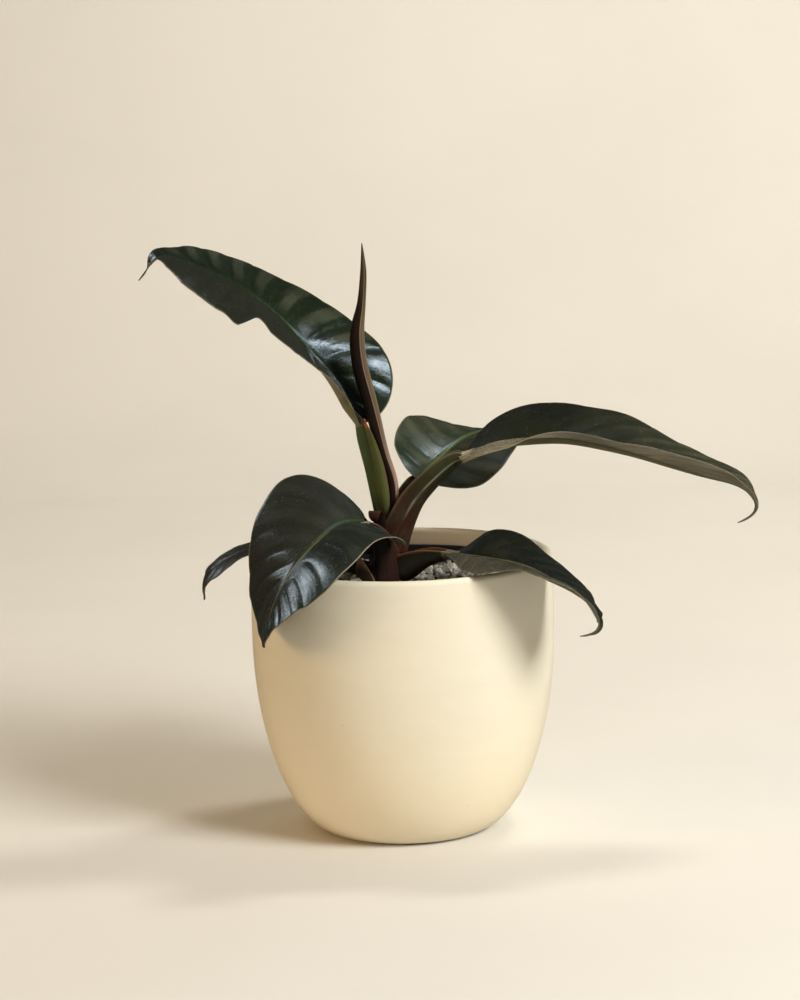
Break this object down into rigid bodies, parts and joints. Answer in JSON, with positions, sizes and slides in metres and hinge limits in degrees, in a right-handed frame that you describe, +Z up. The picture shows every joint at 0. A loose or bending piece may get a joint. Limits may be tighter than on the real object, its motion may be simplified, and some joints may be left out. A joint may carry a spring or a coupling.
{
  "type": "potted imperial red philodendron",
  "caption": "Young philodendron with broad dark glossy leaves on short stalks and a rolled new leaf, in a nursery pot inside a rounded cream ceramic pot.",
  "frame": {"origin": "middle of the ceramic pot's flat foot, on the surface it stands on", "axes": "+Z up, -Y towards the front that the picture shows, +X towards the long right leaf"},
  "size_m": [0.3208, 0.1967, 0.3105],
  "materials": {
    "ceramic": "smooth cream matt glaze with a soft satin sheen",
    "plastic": "thin moulded blue-black nursery pot",
    "soil": "dark moist potting soil of peat and bark",
    "grit": "loose light grey pumice grains, very porous and light",
    "leaf": "very dark green leathery leaf with a waxy gloss, paler olive to beige underneath",
    "new_leaf": "rolled young leaf, purple-brown with a paler pink-beige side, waxy",
    "sheath": "thin papery sheath leaf, orange-pink to purple-brown",
    "stem": "short fleshy dark red-brown stem"
  },
  "bodies": {
    "root": {"pot": "ceramic", "nursery_pot": "plastic", "soil": "soil", "grit": "grit", "stem": "stem", "new_leaf": "new_leaf", "leaf_upper_left": "leaf", "leaf_right": "leaf", "leaf_back": "leaf", "leaf_front_left": "leaf", "leaf_low_right": "leaf", "leaf_low_left": "leaf", "sheath_upper": "sheath", "sheath_collar": "sheath", "sheath_tip": "sheath"}
  },
  "joints": []
}
